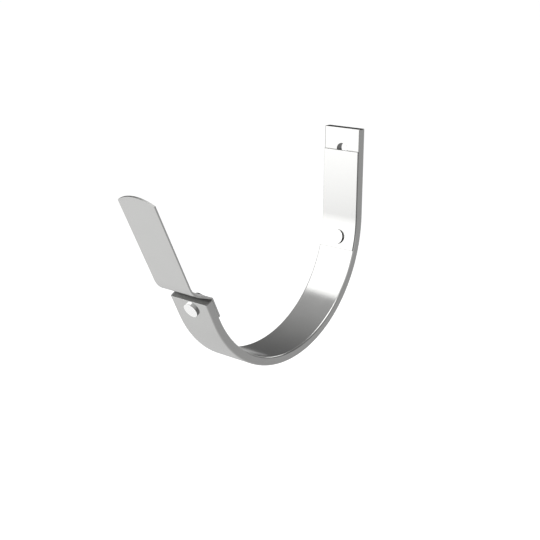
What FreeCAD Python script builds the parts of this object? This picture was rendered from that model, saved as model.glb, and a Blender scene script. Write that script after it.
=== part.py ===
import FreeCAD, Part
import Sketcher
import math
import os

# Half-round gutter bracket for a fascia board: a bent flat bar with two riveted sheet clips.
# Millimetres. +X runs along the gutter, +Y points to the wall, +Z is up.
# The origin is the middle of the fixing hole, on the bar's wall side.

Vector = FreeCAD.Vector
NORMAL = Vector(0, 0, 1)
START, END, CENTRE = range(1, 4)
U_AXIS, V_AXIS = range(-1, -3, -1)
ORIGIN = (U_AXIS, START)
CUT_MARGIN = 2.0
TOLERANCE = 1e-6

SIZES = (
    ("bar_width", 25.0, "flat bar, across"),
    ("bar_thickness", 5.0, "flat bar, through"),
    ("bar_edge_radius", 1.0, "rounding of the bar's long edges"),
    ("bar_end_radius", 0.3, "rounding of the edges at the bar's two ends"),
    ("gutter_radius", 64.5, "inner radius of the bar's bend, which cradles the gutter"),
    ("leg_length", 52.0, "straight back leg, from its top to the start of the bend"),
    ("front_length", 13.0, "straight front end of the bar"),
    ("front_lean", 25.5, "degrees that the front end leans out from upright"),
    ("hole_diameter", 7.0, "fixing hole"),
    ("hole_below_top", 12.5, "middle of the fixing hole below the top of the leg"),
    ("clip_width", 24.0, "sheet clips, across"),
    ("clip_thickness", 1.0, "sheet clips, through"),
    ("clip_gap", 0.05, "clearance between a clip and the bar"),
    ("clip_bend_radius", 0.4, "front clip's bend over the end of the bar, on its inside"),
    ("jog_angle", 45.0, "degrees that the front clip steps outward"),
    ("jog_offset", 10.2, "street face of the clip's plate, out from the bar's inner face"),
    ("plate_bend_radius", 12.0, "bend from the step into the plate, on the street face"),
    ("plate_reach", 68.0, "top of the plate past the end of the bar"),
    ("plate_top_radius", 23.0, "arched top edge of the plate"),
    ("front_clip_start", 0.8, "lower end of the front clip above the bar's bend"),
    ("rear_clip_rise", 38.9, "top edge of the rear clip above the start of the bend"),
    ("rear_clip_wrap", 20.5, "length of the rear clip round the bend"),
    ("front_rivet_inset", 6.3, "front rivet's middle from the clip's lower end"),
    ("rear_rivet_inset", 6.9, "rear rivet's middle from the clip's lower end"),
    ("shank_diameter", 5.0, "rivet shank"),
    ("head_diameter", 8.6, "flat rivet head, across"),
    ("head_height", 1.1, "flat rivet head, through"),
    ("closed_head_height", 1.6, "front rivet's head inside the gutter, through"),
    ("head_edge_radius", 0.15, "rounding of a rivet head's rim"),
    ("rivet_clearance", 0.1, "play round a rivet shank, at the radius"),
    ("countersink_diameter", 8.0, "sunk rivet end on the wall side, across"),
)

# Places that several pieces share, as expressions on the sheet.
BEND_Y = "-(Sizes.bar_thickness + Sizes.gutter_radius)"
BEND_Z = "(Sizes.hole_below_top - Sizes.leg_length)"
FRONT_Y = f"({BEND_Y} - Sizes.gutter_radius * cos(Sizes.front_lean))"
FRONT_Z = f"({BEND_Z} - Sizes.gutter_radius * sin(Sizes.front_lean))"
FRONT_RIVET = "(Sizes.front_clip_start + Sizes.front_rivet_inset)"
FRONT_RIVET_Y = (
    f"({FRONT_Y} - {FRONT_RIVET} * sin(Sizes.front_lean)"
    " - Sizes.bar_thickness * cos(Sizes.front_lean))")
FRONT_RIVET_Z = (
    f"({FRONT_Z} + {FRONT_RIVET} * cos(Sizes.front_lean)"
    " - Sizes.bar_thickness * sin(Sizes.front_lean))")
WRAP_ANGLE = "(Sizes.rear_clip_wrap / Sizes.gutter_radius * 180 / pi)"
REAR_RIVET_ANGLE = (
    "((Sizes.rear_clip_wrap - Sizes.rear_rivet_inset) / Sizes.gutter_radius * 180 / pi)")
RIVET_BORE = "(Sizes.shank_diameter + 2 * Sizes.rivet_clearance)"
BAR_OUTSIDE = "(Sizes.gutter_radius + Sizes.bar_thickness)"
CLIP_OUTSIDE = "(Sizes.gutter_radius - Sizes.clip_gap)"
CLIP_INSIDE = f"({CLIP_OUTSIDE} - Sizes.clip_thickness)"
HALF_BAR = "(Sizes.bar_thickness / 2)"
HALF_CLIP = "(Sizes.clip_thickness / 2)"


def make_sizes(doc):
    """The driving dimensions, one row each: what it is, its value and its name."""
    sheet = doc.addObject("Spreadsheet::Sheet", "Sizes")
    for row, (name, value, meaning) in enumerate(SIZES, 1):
        sheet.set(f"A{row}", meaning)
        sheet.set(f"B{row}", str(value))
        sheet.setAlias(f"B{row}", name)
    doc.recompute()


def make_body(doc, name, origin=None, tilt=None):
    """A body whose own frame may sit at origin (y, z), turned by tilt degrees about X."""
    body = doc.addObject("PartDesign::Body", name)
    body.Label = name
    if origin:
        body.setExpression("Placement", placed(*origin, tilt))
    return body


def placed(y, z, tilt):
    """Expression for a placement in the middle plane, turned about X."""
    base = f"create(<<vector>>; 0; {y}; {z})"
    turn = f"create(<<rotation>>; create(<<vector>>; 1; 0; 0); {tilt})"
    return f"create(<<placement>>; {base}; {turn})"


class Drawing:
    """A sketch on one of its body's origin planes, with dimensions bound to the sheet."""

    def __init__(self, body, name, role):
        self.sketch = body.newObject("Sketcher::SketchObject", name)
        plane = next(item for item in body.Origin.OriginFeatures if item.Role == role)
        self.sketch.AttachmentSupport = (plane, [""])
        self.sketch.MapMode = "FlatFace"

    def value(self, expression):
        return float(self.sketch.evalExpression(str(expression)))

    def line(self, start, end):
        return self.sketch.addGeometry(Part.LineSegment(Vector(*start), Vector(*end)))

    def arc(self, centre, radius, first, last):
        circle = Part.Circle(Vector(*centre), NORMAL, radius)
        arc = Part.ArcOfCircle(circle, math.radians(first), math.radians(last))
        return self.sketch.addGeometry(arc)

    def tie(self, kind, *places):
        self.sketch.addConstraint(Sketcher.Constraint(kind, *places))

    def dimension(self, name, kind, places, expression):
        value = self.value(expression)
        datum = math.radians(value) if kind == "Angle" else value
        index = self.sketch.addConstraint(Sketcher.Constraint(kind, *places, datum))
        self.sketch.renameConstraint(index, name)
        self.sketch.setExpression(f"Constraints.{name}", expression)

    def offset(self, name, kind, point, expression):
        """Dimension a point from the origin along one axis, as a positive distance."""
        if self.value(expression) < 0:
            self.dimension(name, kind, (*point, *ORIGIN), f"-({expression})")
        else:
            self.dimension(name, kind, (*ORIGIN, *point), expression)


def toward(degrees):
    """Unit vector at an angle in a side plane."""
    return Vector(math.cos(math.radians(degrees)), math.sin(math.radians(degrees)))


def draw_path(body, name, u, v, heading, moves):
    """A centreline in the body's side plane: straights and bends, each tangent to the last.

    A move is (name, length) for a straight and (name, radius, turn) for a bend, and a
    positive turn is anticlockwise seen with +Y to the right.
    """
    path = Drawing(body, name, "YZ_Plane")
    place = Vector(path.value(u), path.value(v))
    before = None
    for move in moves:
        if len(move) == 2:
            ahead = place + toward(heading) * path.value(move[1])
            index = path.line(place, ahead)
            path.dimension(move[0], "Distance", (index,), move[1])
            first, last = START, END
        else:
            radius = path.value(move[1])
            turn = path.value(move[2])
            side = math.copysign(1, turn)
            sight = heading - side * 90
            centre = place - toward(sight) * radius
            index = path.arc(centre, radius, min(sight, sight + turn), max(sight, sight + turn))
            path.dimension(move[0], "Radius", (index,), move[1])
            path.dimension(f"{move[0]}_turn", "Angle", (index,), f"abs({move[2]})")
            heading += turn
            ahead = centre + toward(sight + turn) * radius
            first, last = (START, END) if side > 0 else (END, START)
        if before:
            path.tie("Tangent", *before, index, first)
        else:
            path.tie("Vertical", index)
            path.offset("start_u", "DistanceX", (index, START), u)
            path.offset("start_v", "DistanceY", (index, START), v)
        before = (index, last)
        place = ahead
    return path.sketch


def draw_section(body, name, level, middle, width, thickness, radius=None):
    """The strip's section across the start of its path, with rounded corners if asked."""
    section = Drawing(body, name, "XY_Plane")
    section.sketch.setExpression("AttachmentOffset.Base.z", level)
    corner = section.value(radius) if radius else 0.0
    half = section.value(width) / 2
    low = section.value(middle) - section.value(thickness) / 2
    high = section.value(middle) + section.value(thickness) / 2
    straights = (
        ((corner - half, low), (half - corner, low)),
        ((half, low + corner), (half, high - corner)),
        ((half - corner, high), (corner - half, high)),
        ((-half, high - corner), (-half, low + corner)),
    )
    sides = [section.line(start, end) for start, end in straights]
    for side, kind in zip(sides[1:], ("Vertical", "Horizontal", "Vertical")):
        section.tie(kind, side)
    if radius:
        middles = ((half - corner, low + corner), (half - corner, high - corner),
                   (corner - half, high - corner), (corner - half, low + corner))
        for number, centre in enumerate(middles):
            arc = section.arc(centre, corner, 90 * (number - 1), 90 * number)
            section.tie("Tangent", sides[number], END, arc, START)
            section.tie("Tangent", arc, END, sides[(number + 1) % 4], START)
            if number == 0:
                first_arc = arc
                section.dimension("corner", "Radius", (arc,), radius)
            else:
                section.tie("Equal", first_arc, arc)
    else:
        for number in range(4):
            section.tie("Coincident", sides[number], END, sides[(number + 1) % 4], START)
    section.tie("Symmetric", sides[0], START, sides[0], END, V_AXIS)
    section.dimension("width", "DistanceX", (sides[3], END, sides[1], START), width)
    section.dimension("thickness", "DistanceY", (sides[0], START, sides[2], END), thickness)
    section.offset("place", "DistanceY", (sides[0], START), f"{middle} - {thickness} / 2")
    return section.sketch


def bend_strip(body, name, section, path):
    """The strip itself: its section carried along its path."""
    strip = body.newObject("PartDesign::AdditivePipe", name)
    strip.Profile = section
    strip.Spine = (path, [])
    body.Document.recompute()
    return strip


def cut_from(body, feature):
    """Finish a cut, and make sure that it takes something away."""
    solid = feature.getBaseObject().Shape.Volume
    body.Document.recompute()
    if feature.Shape.Volume >= solid:
        raise RuntimeError(f"{feature.Name} cuts nothing")


def drill(body, name, y, z, tilt, diameter, depth):
    """A round hole from a face at (y, z), whose outward normal is Z turned by tilt about X."""
    seat = Drawing(body, f"{name}_middle", "XY_Plane")
    seat.sketch.setExpression("AttachmentOffset", placed(y, z, tilt))
    circle = seat.sketch.addGeometry(Part.Circle(Vector(), NORMAL, seat.value(diameter) / 2))
    seat.tie("Coincident", circle, CENTRE, *ORIGIN)
    seat.dimension("bore", "Diameter", (circle,), diameter)
    body.Document.recompute()
    hole = body.newObject("PartDesign::Hole", name)
    hole.Profile = seat.sketch
    body.Document.recompute()
    hole.DepthType = "Dimension"
    hole.DrillPoint = "Flat"
    hole.setExpression("Diameter", diameter)
    hole.setExpression("Depth", f"{depth} + {CUT_MARGIN}")
    cut_from(body, hole)


def turn(body, kind, name, outline, place=None):
    """Turn half an outline of (radius, height) expressions about its upright axis."""
    half = Drawing(body, f"{name}_outline", "XY_Plane")
    if place:
        half.sketch.setExpression("AttachmentOffset", place)
    points = [(half.value(radius), half.value(height)) for radius, height in outline]
    count = len(points)
    lines = [half.line(points[index], points[(index + 1) % count]) for index in range(count)]
    for index, (radius, height) in enumerate(outline):
        half.tie("Coincident", lines[index], END, lines[(index + 1) % count], START)
        if radius == "0":
            half.tie("PointOnObject", lines[index], START, V_AXIS)
        else:
            half.offset(f"radius_{index}", "DistanceX", (lines[index], START), radius)
        if height == "0":
            half.tie("PointOnObject", lines[index], START, U_AXIS)
        else:
            half.offset(f"height_{index}", "DistanceY", (lines[index], START), height)
    turned = body.newObject(f"PartDesign::{kind}", name)
    turned.Profile = half.sketch
    turned.ReferenceAxis = (half.sketch, ["V_Axis"])
    turned.Angle = 360
    body.Document.recompute()
    return turned


def make_bar(doc):
    """Flat bar bent to the gutter, with rounded edges, the fixing hole and two rivet holes."""
    body = make_body(doc, "bracket_bar")
    moves = (
        ("leg", "Sizes.leg_length"),
        ("cradle", f"Sizes.gutter_radius + {HALF_BAR}", "-(180 - Sizes.front_lean)"),
        ("front", "Sizes.front_length"),
    )
    path = draw_path(body, "bar_line", f"-{HALF_BAR}", "Sizes.hole_below_top", -90, moves)
    section = draw_section(
        body, "bar_section", "Sizes.hole_below_top", f"-{HALF_BAR}",
        "Sizes.bar_width", "Sizes.bar_thickness", "Sizes.bar_edge_radius")
    bar = bend_strip(body, "bar", section, path)
    round_bar_ends(body, bar, path)
    drill(body, "fixing_hole", "0", "0", "-90", "Sizes.hole_diameter", "Sizes.bar_thickness")
    drill(
        body, "front_rivet_hole", FRONT_RIVET_Y, FRONT_RIVET_Z, "90 + Sizes.front_lean",
        RIVET_BORE, "Sizes.bar_thickness")
    sink_rear_rivet_hole(body)
    return body


def round_bar_ends(body, bar, path):
    """Round the edges of the bar's two end faces, which lie square across its path."""
    leg = path.Shape.Edges[0]
    front = path.Shape.Edges[-1]
    ends = (leg.Vertexes[0].Point, front.Vertexes[-1].Point)
    runs = (leg.tangentAt(leg.FirstParameter), front.tangentAt(front.LastParameter))
    names = []
    for number, edge in enumerate(bar.Shape.Edges, 1):
        for end, run in zip(ends, runs):
            depths = [(vertex.Point - end).dot(run) for vertex in edge.Vertexes]
            if all(abs(depth) < TOLERANCE for depth in depths):
                names.append(f"Edge{number}")
    rounding = body.newObject("PartDesign::Fillet", "end_rounding")
    rounding.Base = (bar, names)
    rounding.setExpression("Radius", "Sizes.bar_end_radius")
    body.Document.recompute()


def sink_rear_rivet_hole(body):
    """Through the bend, with a mouth on the wall side that tapers at 45 degrees."""
    bore = f"({RIVET_BORE} / 2)"
    mouth = "(Sizes.countersink_diameter / 2)"
    outline = (
        ("0", f"{CUT_MARGIN}"),
        (f"{mouth} + {CUT_MARGIN}", f"{CUT_MARGIN}"),
        (bore, f"-({mouth} - {bore})"),
        (bore, f"-(Sizes.bar_thickness + {CUT_MARGIN})"),
        ("0", f"-(Sizes.bar_thickness + {CUT_MARGIN})"),
    )
    place = placed(
        f"{BEND_Y} + {BAR_OUTSIDE} * cos({REAR_RIVET_ANGLE})",
        f"{BEND_Z} - {BAR_OUTSIDE} * sin({REAR_RIVET_ANGLE})",
        f"-{REAR_RIVET_ANGLE}")
    cut_from(body, turn(body, "Groove", "rear_rivet_hole", outline, place))


def make_front_clip(doc):
    """Sheet clip that lies inside the bar's front end, steps out over it and rises as a plate.

    Its own frame starts where the bar's front straight does: +Y into the gutter, +Z up the bar.
    """
    body = make_body(doc, "front_clip", (FRONT_Y, FRONT_Z), "Sizes.front_lean")
    foot_bend = f"(Sizes.clip_bend_radius + {HALF_CLIP})"
    plate_bend = f"(Sizes.plate_bend_radius - {HALF_CLIP})"
    leaf = "(Sizes.front_length - Sizes.bar_end_radius - Sizes.front_clip_start)"
    bends_out = f"({foot_bend} + {plate_bend}) * (1 - cos(Sizes.jog_angle))"
    step = f"((Sizes.jog_offset + Sizes.clip_gap - {bends_out}) / sin(Sizes.jog_angle))"
    bends_up = f"({foot_bend} + {plate_bend}) * sin(Sizes.jog_angle)"
    plate = f"Sizes.plate_reach + Sizes.bar_end_radius - {bends_up} - {step} * cos(Sizes.jog_angle)"
    middle = f"(Sizes.clip_gap + {HALF_CLIP})"
    moves = (
        ("leaf", leaf),
        ("foot_bend", foot_bend, "Sizes.jog_angle"),
        ("step", step),
        ("plate_bend", plate_bend, "-Sizes.jog_angle"),
        ("plate", plate),
    )
    path = draw_path(body, "front_clip_line", middle, "Sizes.front_clip_start", 90, moves)
    section = draw_section(
        body, "front_clip_section", "Sizes.front_clip_start", middle,
        "Sizes.clip_width", "Sizes.clip_thickness")
    bend_strip(body, "front_strip", section, path)
    arch_plate_top(body)
    drill(
        body, "front_clip_hole", "Sizes.clip_gap + Sizes.clip_thickness", FRONT_RIVET, "-90",
        RIVET_BORE, "Sizes.clip_thickness")
    return body


def arch_plate_top(body):
    """Shear the plate's top edge to an arch across its width."""
    cut = Drawing(body, "arch", "XZ_Plane")
    top = "(Sizes.front_length + Sizes.plate_reach)"
    high = cut.value(top)
    radius = cut.value("Sizes.plate_top_radius")
    half = cut.value("Sizes.clip_width") / 2
    corner = high - radius + math.sqrt(radius ** 2 - half ** 2)
    beyond = half + CUT_MARGIN
    above = high + CUT_MARGIN
    shoulder = math.degrees(math.acos(half / radius))
    arch = cut.arc((0, high - radius), radius, shoulder, 180 - shoulder)
    outline = (
        (-half, corner), (-beyond, corner), (-beyond, above),
        (beyond, above), (beyond, corner), (half, corner))
    lines = [cut.line(start, end) for start, end in zip(outline, outline[1:])]
    cut.tie("Coincident", arch, END, lines[0], START)
    for first, second in zip(lines, lines[1:]):
        cut.tie("Coincident", first, END, second, START)
    cut.tie("Coincident", lines[-1], END, arch, START)
    for number, kind in ((0, "Horizontal"), (1, "Vertical"), (3, "Vertical"), (4, "Horizontal")):
        cut.tie(kind, lines[number])
    cut.tie("PointOnObject", arch, CENTRE, V_AXIS)
    cut.tie("Symmetric", lines[2], START, lines[2], END, V_AXIS)
    cut.dimension("arch_radius", "Radius", (arch,), "Sizes.plate_top_radius")
    cut.offset("arch_centre", "DistanceY", (arch, CENTRE), f"{top} - Sizes.plate_top_radius")
    cut.dimension("arch_width", "DistanceX", (arch, END, arch, START), "Sizes.clip_width")
    cut.dimension(
        "cut_width", "DistanceX", (lines[2], START, lines[2], END),
        f"Sizes.clip_width + {2 * CUT_MARGIN}")
    cut.offset("cut_top", "DistanceY", (lines[2], START), f"{top} + {CUT_MARGIN}")
    pocket = body.newObject("PartDesign::Pocket", "arched_top")
    pocket.Profile = cut.sketch
    pocket.Type = "ThroughAll"
    pocket.SideType = "Symmetric"
    cut_from(body, pocket)


def make_rear_clip(doc):
    """Sheet clip that lies on the back leg and follows the start of the bend.

    Its own frame is at the middle of the bend.
    """
    body = make_body(doc, "rear_clip", (BEND_Y, BEND_Z), "0")
    middle = f"({CLIP_OUTSIDE} - {HALF_CLIP})"
    moves = (
        ("flat", "Sizes.rear_clip_rise"),
        ("wrap", middle, f"-{WRAP_ANGLE}"),
    )
    path = draw_path(body, "rear_clip_line", middle, "Sizes.rear_clip_rise", -90, moves)
    section = draw_section(
        body, "rear_clip_section", "Sizes.rear_clip_rise", middle,
        "Sizes.clip_width", "Sizes.clip_thickness")
    bend_strip(body, "rear_strip", section, path)
    drill(
        body, "rear_clip_hole",
        f"{CLIP_OUTSIDE} * cos({REAR_RIVET_ANGLE})",
        f"-{CLIP_OUTSIDE} * sin({REAR_RIVET_ANGLE})",
        f"-90 - {REAR_RIVET_ANGLE}",
        RIVET_BORE, "Sizes.clip_thickness")
    return body


def round_head_rims(body, rivet, heights):
    """Ease the rim of each flat head, the widest circle at each height given."""
    reach = rivet.evalExpression("Sizes.head_diameter / 2")
    levels = [float(rivet.evalExpression(height)) for height in heights]
    rims = [
        f"Edge{number}" for number, edge in enumerate(rivet.Shape.Edges, 1)
        if isinstance(edge.Curve, Part.Circle) and abs(edge.Curve.Radius - reach) < TOLERANCE
        and any(abs(edge.Curve.Center.y - level) < TOLERANCE for level in levels)
    ]
    rounding = body.newObject("PartDesign::Fillet", "rim_rounding")
    rounding.Base = (rivet, rims)
    rounding.setExpression("Radius", "Sizes.head_edge_radius")
    body.Document.recompute()


def make_front_rivet(doc):
    """Rivet with two flat heads, through the bar's front end and the front clip.

    Its own frame is on the bar's street face, with +Y out of it.
    """
    body = make_body(doc, "front_rivet", (FRONT_RIVET_Y, FRONT_RIVET_Z), "180 + Sizes.front_lean")
    shank = "Sizes.shank_diameter / 2"
    head = "Sizes.head_diameter / 2"
    grip = "(Sizes.bar_thickness + Sizes.clip_gap + Sizes.clip_thickness)"
    outline = (
        ("0", "Sizes.head_height"),
        (head, "Sizes.head_height"),
        (head, "0"),
        (shank, "0"),
        (shank, f"-{grip}"),
        (head, f"-{grip}"),
        (head, f"-{grip} - Sizes.closed_head_height"),
        ("0", f"-{grip} - Sizes.closed_head_height"),
    )
    rivet = turn(body, "Revolution", "rivet", outline)
    round_head_rims(body, rivet, ("Sizes.head_height", f"-{grip} - Sizes.closed_head_height"))
    return body


def make_rear_rivet(doc):
    """Rivet with one flat head inside the gutter and a sunk end, flush on the wall side.

    Its own frame is under the head, with +Y to the middle of the bend. The flat head bridges
    the hollow of the curved clip and rests on its rim. The sunk end tapers at 45 degrees.
    """
    head = "Sizes.head_diameter / 2"
    shank = "Sizes.shank_diameter / 2"
    seat = f"(sqrt({CLIP_INSIDE} ^ 2 - ({head}) ^ 2) - Sizes.clip_gap)"
    sunk = "Sizes.countersink_diameter / 2"
    flush = f"({BAR_OUTSIDE} - sqrt({BAR_OUTSIDE} ^ 2 - ({sunk}) ^ 2))"
    tail = f"({BAR_OUTSIDE} - {seat})"
    rim = f"({sunk} - {flush} - Sizes.rivet_clearance)"
    cone = f"({rim} - {shank})"
    y = f"{BEND_Y} + {seat} * cos({REAR_RIVET_ANGLE})"
    z = f"{BEND_Z} - {seat} * sin({REAR_RIVET_ANGLE})"
    body = make_body(doc, "rear_rivet", (y, z), f"180 - {REAR_RIVET_ANGLE}")
    outline = (
        ("0", "Sizes.head_height"),
        (head, "Sizes.head_height"),
        (head, "0"),
        (shank, "0"),
        (shank, f"-({tail} - {flush} - {cone})"),
        (rim, f"-({tail} - {flush})"),
        ("0", f"-({tail} - {flush})"),
    )
    rivet = turn(body, "Revolution", "rivet", outline)
    round_head_rims(body, rivet, ("Sizes.head_height",))
    return body


def check(doc, bodies):
    """Stop if a feature failed or a piece isn't one valid solid."""
    for item in doc.Objects:
        if "Invalid" in item.State or "Error" in item.State:
            raise RuntimeError(f"{item.Name} failed: {item.State}")
    for body in bodies:
        shape = body.Shape
        if shape.isNull() or not shape.isValid() or len(shape.Solids) != 1:
            raise RuntimeError(f"{body.Label} is not one valid solid")


def main():
    doc = FreeCAD.newDocument("gutter_bracket")
    make_sizes(doc)
    makers = (make_bar, make_front_clip, make_rear_clip, make_front_rivet, make_rear_rivet)
    bodies = [make(doc) for make in makers]
    doc.recompute()
    check(doc, bodies)
    os.makedirs("parts", exist_ok=True)
    for body in bodies:
        body.Shape.exportStep(f"parts/{body.Label}.step")
        print(f"{body.Label}: {body.Shape.Volume:.1f} mm3")


main()
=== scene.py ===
import math

import bmesh
import bpy
from mathutils import Matrix, Vector


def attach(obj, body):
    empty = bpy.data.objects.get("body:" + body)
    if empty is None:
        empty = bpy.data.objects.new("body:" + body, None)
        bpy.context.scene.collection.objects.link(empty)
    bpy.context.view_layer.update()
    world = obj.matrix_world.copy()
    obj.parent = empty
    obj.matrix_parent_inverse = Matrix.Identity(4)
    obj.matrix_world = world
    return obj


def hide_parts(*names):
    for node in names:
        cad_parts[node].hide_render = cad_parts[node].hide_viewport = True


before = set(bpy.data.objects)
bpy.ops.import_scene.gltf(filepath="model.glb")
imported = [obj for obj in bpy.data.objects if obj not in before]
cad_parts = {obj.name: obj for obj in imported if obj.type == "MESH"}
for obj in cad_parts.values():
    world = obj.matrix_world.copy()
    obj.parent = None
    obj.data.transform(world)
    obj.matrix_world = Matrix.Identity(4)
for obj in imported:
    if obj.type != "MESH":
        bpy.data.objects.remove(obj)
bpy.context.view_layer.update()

MM = 0.001

# Sizes of the bracket, in millimetres and degrees
BAR_WIDTH = 25.0
BAR_THICKNESS = 5.0
BAR_EDGE_ROUNDING = 1.0
BAR_END_ROUNDING = 0.3
GUTTER_RADIUS = 64.5
LEG_LENGTH = 52.0
FRONT_LENGTH = 13.0
FRONT_LEAN = 25.5
HOLE_DIAMETER = 7.0
HOLE_BELOW_TOP = 12.5
CLIP_WIDTH = 24.0
CLIP_THICKNESS = 1.0
CLIP_GAP = 0.05
CLIP_BEND_RADIUS = 0.4
JOG_ANGLE = 45.0
JOG_OFFSET = 10.2
PLATE_BEND_RADIUS = 12.0
PLATE_REACH = 68.0
PLATE_TOP_RADIUS = 23.0
FRONT_CLIP_START = 0.8
REAR_CLIP_RISE = 38.9
REAR_CLIP_WRAP = 20.5
FRONT_RIVET_INSET = 6.3
REAR_RIVET_INSET = 6.9
SHANK_DIAMETER = 5.0
HEAD_DIAMETER = 8.6
HEAD_HEIGHT = 1.1
CLOSED_HEAD_HEIGHT = 2.2
HEAD_ROUNDING = 0.15
RIVET_CLEARANCE = 0.1
COUNTERSINK_DIAMETER = 8.0
SHEARED_ROUNDING = 0.1
REAR_CLIP_ROUNDING = 0.25
PUNCHED_ROUNDING = 0.15
CUT_MARGIN = 2.0

# How finely the shapes are drawn, in steps and degrees
EDGE_STEPS = 6
LEAST_BEND_STEPS = 6
DEGREES_PER_BEND_STEP = 1.5
TURNED_SEGMENTS = 72
RIM_STEPS = 5
ARCH_STEPS = 48
BEVEL_FROM_ANGLE = 40
SHARP_FROM_ANGLE = 35
FLAT_FACING = 0.9
WELD = 1e-7

BEND_MIDDLE = Vector((-(BAR_THICKNESS + GUTTER_RADIUS), HOLE_BELOW_TOP - LEG_LENGTH))
WRAP_ANGLE = math.degrees(REAR_CLIP_WRAP / GUTTER_RADIUS)
REAR_RIVET_ANGLE = math.degrees((REAR_CLIP_WRAP - REAR_RIVET_INSET) / GUTTER_RADIUS)

# The photograph's camera, in metres, degrees and pixels
CAMERA_PLACE = Vector((0.30833, -0.45734, 0.09967))
CAMERA_AZIMUTH = 38.5226
CAMERA_ELEVATION = 17.7074
CAMERA_ROLL = 0.1
FOCAL_PIXELS = 938.2
IMAGE_PIXELS = 540
MIDDLE_PIXEL = (272.5, 270.0)

# The studio
FLOOR_LEVEL = -0.4
FLOOR_REACH = 30.0
FLOOR_GLOW = 0.65
LAMP_AIM = Vector((0, -0.08, -0.05))
WHITE = (1, 1, 1, 1)
STUDIO_MIDDLE = 0.47
STUDIO_SLOPE = 0.39
STUDIO_LEAST = 0.1
STUDIO_MOST = 0.7
MIRRORED_SPOT = (-0.45, -0.4, FLOOR_LEVEL)
MIRRORED_NEAR = 0.08
MIRRORED_FAR = 0.95
MIRRORED_LOSS = 0.5


def toward(degrees):
    """Unit vector in the side plane, 0 towards the wall and 90 up."""
    return Vector((math.cos(math.radians(degrees)), math.sin(math.radians(degrees))))


FRONT_FOOT = BEND_MIDDLE + GUTTER_RADIUS * toward(180 + FRONT_LEAN)


# Camera and light

def make_camera():
    """Camera at the photograph's viewing angle."""
    data = bpy.data.cameras.new("camera")
    camera = bpy.data.objects.new("camera", data)
    bpy.context.scene.collection.objects.link(camera)
    around = math.radians(CAMERA_AZIMUTH)
    above = math.radians(CAMERA_ELEVATION)
    back = Vector((
        math.sin(around) * math.cos(above),
        -math.cos(around) * math.cos(above),
        math.sin(above)))
    turn = (-back).to_track_quat("-Z", "Y").to_matrix().to_4x4()
    roll = Matrix.Rotation(math.radians(CAMERA_ROLL), 4, "Z")
    camera.matrix_world = Matrix.Translation(CAMERA_PLACE) @ turn @ roll
    data.sensor_width = 36.0
    data.lens = FOCAL_PIXELS / IMAGE_PIXELS * data.sensor_width
    data.shift_x = (IMAGE_PIXELS / 2 - MIDDLE_PIXEL[0]) / IMAGE_PIXELS
    data.shift_y = (MIDDLE_PIXEL[1] - IMAGE_PIXELS / 2) / IMAGE_PIXELS
    data.clip_start = 0.01
    data.clip_end = 100.0
    bpy.context.scene.camera = camera


class Shade:
    """A value in a shader, so that sums and products of it read as arithmetic."""

    def __init__(self, finish, socket):
        self.finish = finish
        self.socket = socket

    def work(self, operation, *values):
        return self.finish.add("ShaderNodeMath", {"operation": operation}, dict(enumerate(values)))

    def __add__(self, other):
        return self.work("ADD", self, other)

    def __radd__(self, other):
        return self.work("ADD", other, self)

    def __sub__(self, other):
        return self.work("SUBTRACT", self, other)

    def __rsub__(self, other):
        return self.work("SUBTRACT", other, self)

    def __mul__(self, other):
        return self.work("MULTIPLY", self, other)

    def __rmul__(self, other):
        return self.work("MULTIPLY", other, self)

    def ease(self, low, high):
        """0 below low, 1 above high and smooth between."""
        return self.finish.add(
            "ShaderNodeMapRange", {"interpolation_type": "SMOOTHSTEP"},
            {"Value": self, "From Min": low, "From Max": high})


class Finish:
    """A shader's node tree, with one way to add a node."""

    def __init__(self, owner):
        owner.use_nodes = True
        self.tree = owner.node_tree
        self.tree.nodes.clear()

    def add(self, kind, settings=None, sockets=None, out=0):
        node = self.tree.nodes.new(kind)
        for name, value in (settings or {}).items():
            setattr(node, name, value)
        for name, value in (sockets or {}).items():
            if isinstance(value, Shade):
                self.tree.links.new(value.socket, node.inputs[name])
            else:
                node.inputs[name].default_value = value
        return Shade(self, node.outputs[out]) if node.outputs else None

    def parts(self, vector):
        """The three numbers of a vector."""
        node = self.tree.nodes.new("ShaderNodeSeparateXYZ")
        self.tree.links.new(vector.socket, node.inputs[0])
        return [Shade(self, socket) for socket in node.outputs]


def hang_lamp(name, direction, distance, size, radiance, roll=0, foot=1.0, fade=0.1):
    """A softbox that faces the bracket from a direction.

    It is rolled about its own axis, and over the lowest share of its height, fade, it dims to
    the level foot.
    """
    width, height = size
    data = bpy.data.lights.new(name, "AREA")
    data.shape = "RECTANGLE"
    data.size = width
    data.size_y = height
    data.energy = radiance * math.pi * width * height
    cloth = Finish(data)
    rise = cloth.parts(cloth.add("ShaderNodeNewGeometry", out="Parametric"))[1]
    share = cloth.add(
        "ShaderNodeMapRange", sockets={"Value": rise, "From Max": fade, "To Min": foot})
    glow = cloth.add("ShaderNodeEmission", sockets={"Color": WHITE, "Strength": share})
    cloth.add("ShaderNodeOutputLight", sockets={"Surface": glow})
    lamp = bpy.data.objects.new(name, data)
    bpy.context.scene.collection.objects.link(lamp)
    sight = Vector(direction).normalized()
    turn = sight.to_track_quat("Z", "Y").to_matrix().to_4x4()
    level = Matrix.Rotation(math.radians(roll), 4, "Z")
    lamp.matrix_world = Matrix.Translation(LAMP_AIM + sight * distance) @ turn @ level


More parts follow.
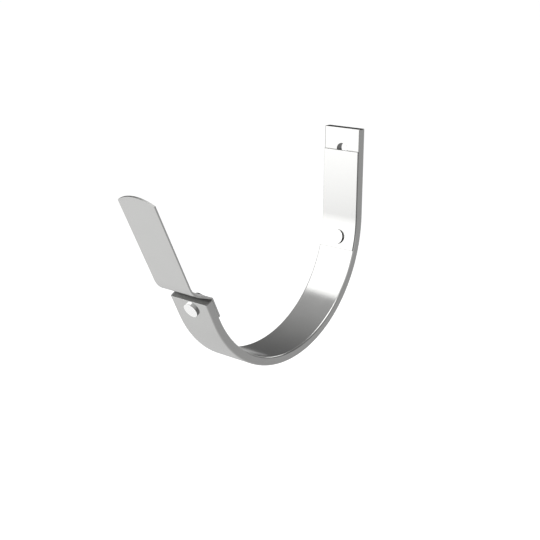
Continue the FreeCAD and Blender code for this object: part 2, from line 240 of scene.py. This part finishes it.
def make_world():
    """A pale studio, bright at the front and dim towards the wall, white behind the bracket."""
    world = bpy.data.worlds.new("studio")
    bpy.context.scene.world = world
    sky = Finish(world)
    way = sky.parts(sky.add("ShaderNodeTexCoord", out=0))
    level = sky.add(
        "ShaderNodeClamp", sockets={
            "Value": STUDIO_MIDDLE - STUDIO_SLOPE * way[1], "Min": STUDIO_LEAST,
            "Max": STUDIO_MOST})
    dim = sky.add("ShaderNodeBackground", sockets={"Color": level})
    white = sky.add("ShaderNodeBackground", sockets={"Color": WHITE})
    seen = sky.add("ShaderNodeLightPath", out="Is Camera Ray")
    both = sky.add("ShaderNodeMixShader", sockets={0: seen, 1: dim, 2: white})
    sky.add("ShaderNodeOutputWorld", sockets={"Surface": both})


def make_floor():
    """A plain pale floor, far enough below for the bracket to hang free.

    In the metal it is seen as a floor with a painted pool of light, a glow brightest at one spot
    that fades around it.
    """
    reach = FLOOR_REACH
    mesh = bpy.data.meshes.new("floor")
    corners = [(-reach, -reach), (reach, -reach), (reach, reach), (-reach, reach)]
    mesh.from_pydata([(x, y, FLOOR_LEVEL) for x, y in corners], [], [(0, 1, 2, 3)])
    floor = bpy.data.objects.new("floor", mesh)
    bpy.context.scene.collection.objects.link(floor)
    material = bpy.data.materials.new("pale_floor")
    paint = Finish(material)
    matt = paint.add("ShaderNodeBsdfDiffuse", sockets={"Color": (0.8, 0.8, 0.8, 1)})
    seen = paint.add("ShaderNodeLightPath", out="Is Camera Ray")
    mirrored = paint.add("ShaderNodeLightPath", out="Is Glossy Ray")
    spot = paint.add("ShaderNodeTexCoord", out="Object")
    away = paint.add(
        "ShaderNodeVectorMath", {"operation": "DISTANCE"}, {0: spot, 1: MIRRORED_SPOT},
        out="Value")
    # For glossy rays the floor is a painted pool of light: an emission brightest at one spot,
    # fading around it.
    level = 1.0 - MIRRORED_LOSS * away.ease(MIRRORED_NEAR, MIRRORED_FAR)
    pale = paint.add("ShaderNodeEmission", sockets={"Color": WHITE, "Strength": level})
    glow = paint.add(
        "ShaderNodeEmission", sockets={"Color": WHITE, "Strength": FLOOR_GLOW * seen})
    both = paint.add("ShaderNodeAddShader", sockets={0: matt, 1: glow})
    both = paint.add("ShaderNodeMixShader", sockets={0: mirrored, 1: both, 2: pale})
    paint.add("ShaderNodeOutputMaterial", sockets={"Surface": both})
    mesh.materials.append(material)


# Finishes

LINES_ACROSS = 4000.0
LINES_ALONG = 60.0
CLOUDS_PER_METRE = 90.0
TEARS_PER_METRE = (300.0, 2500.0, 2500.0)


def mill_grain(finish, across, along):
    """Fine rolling lines, which run with the metal, from 0 to 1."""
    flow = finish.add(
        "ShaderNodeCombineXYZ", sockets={"X": across * LINES_ACROSS, "Y": along * LINES_ALONG})
    return finish.add(
        "ShaderNodeTexNoise", {"noise_dimensions": "2D"},
        {"Vector": flow, "Scale": 1.0, "Detail": 3.0, "Roughness": 0.6})


def bare_metal(name, colour, roughness, grain_depth, cloud):
    """Bare satin metal with rolling lines and faint clouds."""
    material = bpy.data.materials.new(name)
    finish = Finish(material)
    uv = finish.parts(finish.add("ShaderNodeUVMap", {"uv_map": "UVMap"}))
    grain = mill_grain(finish, uv[0], uv[1])
    place = finish.add("ShaderNodeTexCoord", out="Object")
    clouds = finish.add(
        "ShaderNodeTexNoise", {}, {"Vector": place, "Scale": CLOUDS_PER_METRE, "Detail": 2.0})
    shade = 1.0 + cloud * (clouds - 0.5) + 0.5 * cloud * (grain - 0.5)
    tint = finish.add(
        "ShaderNodeVectorMath", {"operation": "SCALE"}, {0: colour, "Scale": shade})
    rough = roughness + 0.06 * (clouds - 0.5) + 0.05 * (grain - 0.5)
    relief = finish.add(
        "ShaderNodeBump", {}, {"Height": grain, "Strength": 1.0, "Distance": grain_depth})
    skin = finish.add("ShaderNodeBsdfPrincipled", {}, {
        "Base Color": tint, "Metallic": 1.0, "Roughness": rough, "Normal": relief})
    finish.add("ShaderNodeOutputMaterial", sockets={"Surface": skin})
    return material


def lean(finish, vector, way):
    """How far a vector goes one way in the side plane."""
    return finish.add(
        "ShaderNodeVectorMath", {"operation": "DOT_PRODUCT"},
        {0: vector, 1: (0, way[0], way[1])}, out="Value")


def front_depth(finish, place):
    """How far a place lies inward of the inner face of the bar's front end."""
    inward = toward(FRONT_LEAN)
    return lean(finish, place, inward) - FRONT_FOOT.dot(inward) * MM


def painted_shade_under_clip(finish, place):
    """Mask of painted shade: 1 where the bar's front end dips under the clip's step, and less
    further in.
    """
    depth = front_depth(finish, place)
    return depth.ease(-2.9 * MM, -1.7 * MM) * (1.0 - 0.85 * depth.ease(-1.6 * MM, 0.8 * MM))


def end_flats(finish, facing):
    """1 on the flats of the bar's two ends, and 0 on their rounded edges."""
    top = lean(finish, facing, toward(90)).ease(0.9, 0.99)
    front = lean(finish, facing, toward(90 + FRONT_LEAN)).ease(0.9, 0.99)
    return top.work("MAXIMUM", top, front)


def pressed_metal(name, colour, roughness, speckle, depth, painted_light=None):
    """A sheared, drilled or pressed face, without the rolled skin's lines."""
    material = bpy.data.materials.new(name)
    finish = Finish(material)
    place = finish.add("ShaderNodeTexCoord", out="Object")
    facing = finish.add("ShaderNodeTexCoord", out="Normal")
    spread = finish.add(
        "ShaderNodeVectorMath", {"operation": "MULTIPLY"}, {0: place, 1: TEARS_PER_METRE})
    tears = finish.add(
        "ShaderNodeTexNoise", {}, {"Vector": spread, "Scale": 1.0, "Detail": 3.0})
    shade = 1.0 + speckle * (tears - 0.5)
    # The optional function scales the colour with painted highlight and painted shade.
    if painted_light:
        shade = shade * painted_light(finish, place, facing)
    tint = finish.add(
        "ShaderNodeVectorMath", {"operation": "SCALE"}, {0: colour, "Scale": shade})
    relief = finish.add(
        "ShaderNodeBump", {}, {"Height": tears, "Strength": 1.0, "Distance": depth})
    skin = finish.add("ShaderNodeBsdfPrincipled", {}, {
        "Base Color": tint, "Metallic": 1.0, "Roughness": roughness + 0.1 * (tears - 0.5),
        "Normal": relief})
    finish.add("ShaderNodeOutputMaterial", sockets={"Surface": skin})
    return material


def sawn_end_painted_shade(finish, place, facing):
    """Painted shade on the sawn ends: darker along their rounded edges, at the leg's top and under
    the clip's step.
    """
    flat = end_flats(finish, facing)
    height = lean(finish, place, toward(90))
    top = height.ease(-20 * MM, 0.0)
    return (0.12 + 0.88 * flat) * (1.0 - 0.75 * top) * (1.0 - 0.32 * painted_shade_under_clip(finish, place))


def rivet_wall_painted_light(finish, place, facing):
    """Painted light on the front rivet's wall: a painted highlight on top, painted shade below and
    inside the gutter.
    """
    depth = front_depth(finish, place)
    hidden = depth.ease(0.0, 1 * MM) - depth.ease(8 * MM, 10 * MM)
    height = lean(finish, facing, toward(90))
    above = height.ease(0.1, 0.9) * (1.0 - hidden)
    return 0.16 + 0.24 * height.ease(-0.7, 0.1) + 0.6 * above - 0.26 * hidden


# Shapes

def bend_line(start, heading, moves):
    """Corner points of a bent line in the side plane, each with its bend radius and turn.

    A move is (length,) for a straight and (radius, turn) for a bend.
    """
    place = Vector(start)
    corners = [(place, 0.0, 0.0)]
    for move in moves:
        if len(move) == 1:
            place = place + move[0] * toward(heading)
            continue
        radius, turn = move
        reach = radius * math.tan(math.radians(abs(turn)) / 2)
        corner = place + reach * toward(heading)
        corners.append((corner, radius, turn))
        heading += turn
        place = corner + reach * toward(heading)
    return corners + [(place, 0.0, 0.0)]


class Tree:
    """A Geometry Nodes tree with named inputs."""

    def __init__(self, name, inputs):
        self.group = bpy.data.node_groups.new(name, "GeometryNodeTree")
        panel = self.group.interface
        panel.new_socket("Geometry", in_out="INPUT", socket_type="NodeSocketGeometry")
        self.keys = {}
        for label, kind in inputs.items():
            socket = panel.new_socket(label, in_out="INPUT", socket_type=f"NodeSocket{kind}")
            self.keys[label] = socket.identifier
        panel.new_socket("Geometry", in_out="OUTPUT", socket_type="NodeSocketGeometry")
        self.given = self.group.nodes.new("NodeGroupInput").outputs

    def add(self, kind, settings=None, sockets=None, out=0):
        """A node: its settings first, then its sockets by name or by number."""
        node = self.group.nodes.new(kind)
        for name, value in (settings or {}).items():
            setattr(node, name, value)
        usable = [socket for socket in node.inputs if socket.enabled]
        for name, value in (sockets or {}).items():
            if isinstance(name, int):
                socket = usable[name]
            else:
                socket = next(item for item in usable if item.name == name)
            if isinstance(value, bpy.types.NodeSocket):
                self.group.links.new(value, socket)
            else:
                socket.default_value = value
        return node.outputs[out]

    def named(self, name, kind):
        """A stored attribute, read back."""
        return self.add("GeometryNodeInputNamedAttribute", {"data_type": kind}, {"Name": name})

    def store(self, geometry, name, value, kind="FLOAT", domain="POINT"):
        return self.add(
            "GeometryNodeStoreNamedAttribute", {"data_type": kind, "domain": domain},
            {"Geometry": geometry, "Name": name, "Value": value})

    def finish(self, geometry):
        out = self.group.nodes.new("NodeGroupOutput")
        self.group.links.new(geometry, out.inputs[0])


def make_strip_tree():
    """A flat strip with rounded edges, carried along a line of straights and bends."""
    tree = Tree("bent_strip", {
        "Width": "Float", "Thickness": "Float", "Edge Rounding": "Float",
        "Rolled Face": "Material", "Cut Face": "Material", "Sheared Sides": "Bool"})
    given = tree.given
    line = tree.add("GeometryNodeMeshToCurve", {}, {"Mesh": given["Geometry"]})
    line = tree.add("GeometryNodeFilletCurve", {"mode": "POLY"}, {
        "Curve": line, "Radius": tree.named("bend_radius", "FLOAT"),
        "Count": tree.named("bend_steps", "INT"), "Limit Radius": False})
    line = tree.add(
        "GeometryNodeSetCurveNormal", {"mode": "FREE"}, {"Curve": line, "Normal": (1, 0, 0)})
    line = tree.store(line, "along", tree.add("GeometryNodeSplineParameter", out=1))
    section = tree.add(
        "GeometryNodeCurvePrimitiveQuadrilateral", {"mode": "RECTANGLE"},
        {"Width": given["Width"], "Height": given["Thickness"]})
    section = tree.add("GeometryNodeFilletCurve", {"mode": "POLY"}, {
        "Curve": section, "Radius": given["Edge Rounding"], "Count": EDGE_STEPS,
        "Limit Radius": False})
    place = tree.add("GeometryNodeInputPosition")
    width_way = tree.add("ShaderNodeSeparateXYZ", {}, {0: place}, out=0)
    depth_way = tree.add("ShaderNodeSeparateXYZ", {}, {0: place}, out=1)
    around = tree.add("ShaderNodeMath", {"operation": "ADD"}, {0: width_way, 1: depth_way})
    section = tree.store(section, "around", around)
    strip = tree.add(
        "GeometryNodeCurveToMesh", {},
        {"Curve": line, "Profile Curve": section, "Fill Caps": True})
    strip = tree.add("GeometryNodeMergeByDistance", {}, {"Geometry": strip, "Distance": 1e-6})
    spread = tree.add(
        "ShaderNodeCombineXYZ", {},
        {"X": tree.named("around", "FLOAT"), "Y": tree.named("along", "FLOAT")})
    strip = tree.store(strip, "UVMap", spread, "FLOAT2", "CORNER")
    strip = tree.add("GeometryNodeSetShadeSmooth", {}, {"Geometry": strip})
    strip = tree.add("GeometryNodeRealizeInstances", {}, {"Geometry": strip})
    strip = tree.add(
        "GeometryNodeSetMaterial", {}, {"Geometry": strip, "Material": given["Rolled Face"]})
    ends = tree.add(
        "FunctionNodeCompare", {"data_type": "INT", "operation": "GREATER_THAN"},
        {0: tree.add("GeometryNodeInputMeshFaceNeighbors"), 1: 4})
    sideways = tree.add("ShaderNodeSeparateXYZ", {}, {0: tree.add("GeometryNodeInputNormal")})
    steep = tree.add("ShaderNodeMath", {"operation": "ABSOLUTE"}, {0: sideways})
    beside = tree.add("ShaderNodeMath", {"operation": "GREATER_THAN"}, {0: steep, 1: 0.5})
    sheared = tree.add(
        "FunctionNodeBooleanMath", {"operation": "AND"}, {0: beside, 1: given["Sheared Sides"]})
    cut = tree.add("FunctionNodeBooleanMath", {"operation": "OR"}, {0: ends, 1: sheared})
    strip = tree.add(
        "GeometryNodeSetMaterial", {},
        {"Geometry": strip, "Selection": cut, "Material": given["Cut Face"]})
    tree.finish(strip)
    return tree


def lay_strip(name, tree, corners, width, thickness, rounding, rolled, cut, sheared):
    """A strip's object, whose line runs through the corners and whose tree gives it its body."""
    mesh = bpy.data.meshes.new(f"{name}_line")
    points = [(0, place[0] * MM, place[1] * MM) for place, _, _ in corners]
    mesh.from_pydata(points, [(index, index + 1) for index in range(len(points) - 1)], [])
    radius = mesh.attributes.new("bend_radius", "FLOAT", "POINT")
    steps = mesh.attributes.new("bend_steps", "INT", "POINT")
    for index, (_, bend, turn) in enumerate(corners):
        radius.data[index].value = bend * MM
        steps.data[index].value = max(
            LEAST_BEND_STEPS, round(abs(turn) / DEGREES_PER_BEND_STEP))
    strip = bpy.data.objects.new(f"{name}_strip", mesh)
    bpy.context.scene.collection.objects.link(strip)
    modifier = strip.modifiers.new("body", "NODES")
    modifier.node_group = tree.group
    values = {
        "Width": width * MM, "Thickness": thickness * MM, "Edge Rounding": rounding * MM,
        "Rolled Face": rolled, "Cut Face": cut, "Sheared Sides": sheared}
    for label, value in values.items():
        modifier[tree.keys[label]] = value
    return strip


def ease_edges(piece, width, steps, slot=-1):
    """Round every edge that is sharper than a bend, with its faces' own finish or a slot's."""
    bevel = piece.modifiers.new("rounding", "BEVEL")
    bevel.material = slot
    bevel.limit_method = "ANGLE"
    bevel.angle_limit = math.radians(BEVEL_FROM_ANGLE)
    bevel.width = width * MM
    bevel.segments = steps


def cut_away(piece, cutter):
    """Take the cutter's body out of the piece; the new faces have the cutter's finish."""
    boolean = piece.modifiers.new("cut", "BOOLEAN")
    boolean.operation = "DIFFERENCE"
    boolean.solver = "EXACT"
    boolean.material_mode = "TRANSFER"
    boolean.object = cutter


def bake(name, source, cutters, node):
    """The finished piece as a plain mesh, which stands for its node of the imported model."""
    even = source.modifiers.new("even_shading", "WEIGHTED_NORMAL")
    even.keep_sharp = True
    graph = bpy.context.evaluated_depsgraph_get()
    mesh = bpy.data.meshes.new_from_object(source.evaluated_get(graph), depsgraph=graph)
    mesh.name = name
    piece = bpy.data.objects.new(name, mesh)
    bpy.context.scene.collection.objects.link(piece)
    for used in (source, *cutters):
        bpy.data.objects.remove(used)
    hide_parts(node)
    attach(piece, "root")
    return piece


def turned(name, outline, place, sight, face_skin, wall_skin):
    """A closed body turned from (radius, height) points about an axis in the side plane."""
    body = bmesh.new()
    points = [body.verts.new((radius * MM, 0, height * MM)) for radius, height in outline]
    edges = [body.edges.new(pair) for pair in zip(points, points[1:])]
    bmesh.ops.spin(
        body, geom=points + edges, axis=(0, 0, 1), cent=(0, 0, 0), angle=math.tau,
        steps=TURNED_SEGMENTS, use_duplicate=False)
    bmesh.ops.remove_doubles(body, verts=body.verts, dist=WELD)
    bmesh.ops.recalc_face_normals(body, faces=body.faces)
    for face in body.faces:
        face.smooth = True
        face.material_index = 0 if abs(face.normal.z) > FLAT_FACING else 1
    axis = Vector((0, *toward(sight)))
    turn = axis.to_track_quat("Z", "X").to_matrix().to_4x4()
    spot = Vector((0, place[0], place[1])) * MM
    body.transform(Matrix.Translation(spot) @ turn)
    mesh = bpy.data.meshes.new(name)
    body.to_mesh(mesh)
    body.free()
    mesh.materials.append(face_skin)
    mesh.materials.append(wall_skin)
    mesh.set_sharp_from_angle(angle=math.radians(SHARP_FROM_ANGLE))
    piece = bpy.data.objects.new(name, mesh)
    bpy.context.scene.collection.objects.link(piece)
    return piece


def make_bar(tree, rolled, sawn, cut):
    """Flat bar bent to the gutter, with the fixing hole and the sunk rivet hole."""
    middle = BAR_THICKNESS / 2
    moves = (
        (LEG_LENGTH,),
        (GUTTER_RADIUS + middle, -(180 - FRONT_LEAN)),
        (FRONT_LENGTH,),
    )
    line = bend_line((-middle, HOLE_BELOW_TOP), -90, moves)
    bar = lay_strip(
        "bar", tree, line, BAR_WIDTH, BAR_THICKNESS, BAR_EDGE_ROUNDING, rolled, sawn, False)
    ease_edges(bar, BAR_END_ROUNDING, 4, 1)
    hole = HOLE_DIAMETER / 2
    drill = turned(
        "drill", [(0, CUT_MARGIN), (hole, CUT_MARGIN), (hole, -BAR_THICKNESS - CUT_MARGIN),
                  (0, -BAR_THICKNESS - CUT_MARGIN)], (0, 0), 0, cut, cut)
    cut_away(bar, drill)
    bore = SHANK_DIAMETER / 2 + RIVET_CLEARANCE
    mouth = COUNTERSINK_DIAMETER / 2
    sink = turned(
        "sink", [(0, CUT_MARGIN), (mouth + CUT_MARGIN, CUT_MARGIN), (bore, bore - mouth),
                 (bore, -BAR_THICKNESS - CUT_MARGIN), (0, -BAR_THICKNESS - CUT_MARGIN)],
        BEND_MIDDLE + (GUTTER_RADIUS + BAR_THICKNESS) * toward(-REAR_RIVET_ANGLE),
        -REAR_RIVET_ANGLE, cut, cut)
    cut_away(bar, sink)
    ease_edges(bar, PUNCHED_ROUNDING, 2)
    return bake("bar", bar, (drill, sink), "bracket_bar")


def make_front_clip(tree, rolled, cut):
    """Sheet clip: leaf inside the bar's front end, step over it, and the plate."""
    half = CLIP_THICKNESS / 2
    foot_bend = CLIP_BEND_RADIUS + half
    plate_bend = PLATE_BEND_RADIUS - half
    leaf = FRONT_LENGTH - BAR_END_ROUNDING - FRONT_CLIP_START
    jog = math.radians(JOG_ANGLE)
    step = (JOG_OFFSET + CLIP_GAP - (foot_bend + plate_bend) * (1 - math.cos(jog))) / math.sin(jog)
    bends_up = (foot_bend + plate_bend) * math.sin(jog)
    plate = PLATE_REACH + BAR_END_ROUNDING - bends_up - step * math.cos(jog)
    inward = toward(FRONT_LEAN)
    upward = toward(90 + FRONT_LEAN)
    start = FRONT_FOOT + (CLIP_GAP + half) * inward + FRONT_CLIP_START * upward
    moves = ((leaf,), (foot_bend, JOG_ANGLE), (step,), (plate_bend, -JOG_ANGLE), (plate,))
    line = bend_line(start, 90 + FRONT_LEAN, moves)
    clip = lay_strip(
        "front_clip", tree, line, CLIP_WIDTH, CLIP_THICKNESS, SHEARED_ROUNDING, rolled, cut, False)
    shears = arch_cutter(inward, upward, cut)
    cut_away(clip, shears)
    ease_edges(clip, SHEARED_ROUNDING, 2)
    return bake("front_clip_sheet", clip, (shears,), "front_clip")


def arch_cutter(inward, upward, cut):
    """What the shears take off above the plate's arched top edge."""
    top = FRONT_LENGTH + PLATE_REACH
    beyond = CLIP_WIDTH / 2 + CUT_MARGIN
    outline = []
    for index in range(ARCH_STEPS + 1):
        x = -beyond + 2 * beyond * index / ARCH_STEPS
        rise = top - PLATE_TOP_RADIUS + math.sqrt(PLATE_TOP_RADIUS ** 2 - x ** 2)
        outline.append((x, rise))
    outline += [(beyond, top + CUT_MARGIN), (-beyond, top + CUT_MARGIN)]
    body = bmesh.new()
    near, far = [], []
    for x, rise in outline:
        for row, out in ((near, -CUT_MARGIN), (far, JOG_OFFSET + CUT_MARGIN)):
            place = FRONT_FOOT + rise * upward - out * inward
            row.append(body.verts.new((x * MM, place[0] * MM, place[1] * MM)))
    body.faces.new(near)
    body.faces.new(far)
    for index in range(len(outline)):
        after = (index + 1) % len(outline)
        body.faces.new((near[index], near[after], far[after], far[index]))
    bmesh.ops.recalc_face_normals(body, faces=body.faces)
    for face in body.faces:
        face.smooth = True
    mesh = bpy.data.meshes.new("shears")
    body.to_mesh(mesh)
    body.free()
    mesh.materials.append(cut)
    piece = bpy.data.objects.new("shears", mesh)
    bpy.context.scene.collection.objects.link(piece)
    return piece


def make_rear_clip(tree, rolled, cut):
    """Sheet clip on the back leg, which follows the start of the bend."""
    middle = GUTTER_RADIUS - CLIP_GAP - CLIP_THICKNESS / 2
    start = BEND_MIDDLE + Vector((middle, REAR_CLIP_RISE))
    moves = ((REAR_CLIP_RISE,), (middle, -WRAP_ANGLE))
    line = bend_line(start, -90, moves)
    clip = lay_strip(
        "rear_clip", tree, line, CLIP_WIDTH, CLIP_THICKNESS, REAR_CLIP_ROUNDING, rolled, cut, True)
    ease_edges(clip, REAR_CLIP_ROUNDING, 3, 1)
    return bake("rear_clip_sheet", clip, (), "rear_clip")


def rim(radius, height, side):
    """Points round the rim of a flat head, from its face to its wall (side 1) or back (-1)."""
    points = []
    for index in range(RIM_STEPS + 1):
        angle = math.radians(90 * index / RIM_STEPS)
        points.append((
            radius - HEAD_ROUNDING * (1 - math.sin(angle)),
            height - side * HEAD_ROUNDING * (1 - math.cos(angle))))
    return points if side > 0 else points[::-1]


def make_rivets(bright, front_wall, rear_wall_painted_shade):
    """Front rivet with two flat heads, and rear rivet with one and a sunk end."""
    head = HEAD_DIAMETER / 2
    shank = SHANK_DIAMETER / 2
    grip = BAR_THICKNESS + CLIP_GAP + CLIP_THICKNESS
    outline = [
        (0, HEAD_HEIGHT), *rim(head, HEAD_HEIGHT, 1), (head, 0), (shank, 0), (shank, -grip),
        (head, -grip), *rim(head, -grip - CLOSED_HEAD_HEIGHT, -1),
        (0, -grip - CLOSED_HEAD_HEIGHT)]
    inward = toward(FRONT_LEAN)
    place = (
        FRONT_FOOT - BAR_THICKNESS * inward
        + (FRONT_CLIP_START + FRONT_RIVET_INSET) * toward(90 + FRONT_LEAN))
    front = turned("front_rivet_turned", outline, place, 180 + FRONT_LEAN, bright, front_wall)
    bake("front_rivet_steel", front, (), "front_rivet")
    hollow = GUTTER_RADIUS - CLIP_GAP - CLIP_THICKNESS
    seat = math.sqrt(hollow ** 2 - head ** 2) - CLIP_GAP
    outside = GUTTER_RADIUS + BAR_THICKNESS
    mouth = COUNTERSINK_DIAMETER / 2
    flush = outside - math.sqrt(outside ** 2 - mouth ** 2)
    end = seat - outside + flush
    wide = mouth - flush - RIVET_CLEARANCE
    outline = [
        (0, HEAD_HEIGHT), *rim(head, HEAD_HEIGHT, 1), (head, 0), (shank, 0),
        (shank, end + wide - shank), (wide, end), (0, end)]
    place = BEND_MIDDLE + seat * toward(-REAR_RIVET_ANGLE)
    rear = turned("rear_rivet_turned", outline, place, 180 - REAR_RIVET_ANGLE, bright, rear_wall_painted_shade)
    bake("rear_rivet_steel", rear, (), "rear_rivet")


def main():
    make_camera()
    make_world()
    make_floor()
    hang_lamp(
        "key_softbox", direction=(-0.62, -0.68, 0.27), distance=0.9, size=(0.8, 1.27),
        radiance=1.5, roll=-15, foot=0.36, fade=0.235)
    hang_lamp(
        "top_softbox", direction=(0.04, -0.04, 1.0), distance=1.0, size=(0.6, 0.9), radiance=2.2)
    hang_lamp(
        "back_softbox", direction=(0.08, 0.9, 0.4), distance=0.9, size=(0.3, 0.3), radiance=2.2)
    bar_skin = bare_metal(
        "rolled_bar", (0.56, 0.56, 0.552), roughness=0.17, grain_depth=2e-6, cloud=0.06)
    sheet_skin = bare_metal(
        "rolled_sheet", (0.58, 0.58, 0.572), roughness=0.2, grain_depth=1.5e-6, cloud=0.05)
    sawn = pressed_metal(
        "sawn_end", (0.34, 0.34, 0.335), roughness=0.42, speckle=0.3, depth=2e-5, painted_light=sawn_end_painted_shade)
    cut = pressed_metal(
        "sheared_edge", (0.33, 0.33, 0.325), roughness=0.42, speckle=0.3, depth=2e-5)
    bright = pressed_metal(
        "rivet_face", (0.98, 0.98, 0.975), roughness=0.25, speckle=0.02, depth=8e-7)
    front_wall = pressed_metal(
        "front_rivet_wall", (0.97, 0.97, 0.965), roughness=0.2, speckle=0.05, depth=1e-6,
        painted_light=rivet_wall_painted_light)
    # The rear rivet's wall is a dark copy of the rivet's bright steel: painted shade for the dark
    # crescent round its head.
    rear_wall_painted_shade = pressed_metal(
        "rear_rivet_wall_painted_shade", (0.26, 0.26, 0.257), roughness=0.2, speckle=0.05, depth=1e-6)
    tree = make_strip_tree()
    make_bar(tree, bar_skin, sawn, cut)
    make_front_clip(tree, sheet_skin, cut)
    make_rear_clip(tree, sheet_skin, cut)
    make_rivets(bright, front_wall, rear_wall_painted_shade)


main()
bpy.context.scene.view_settings.view_transform = "Standard"
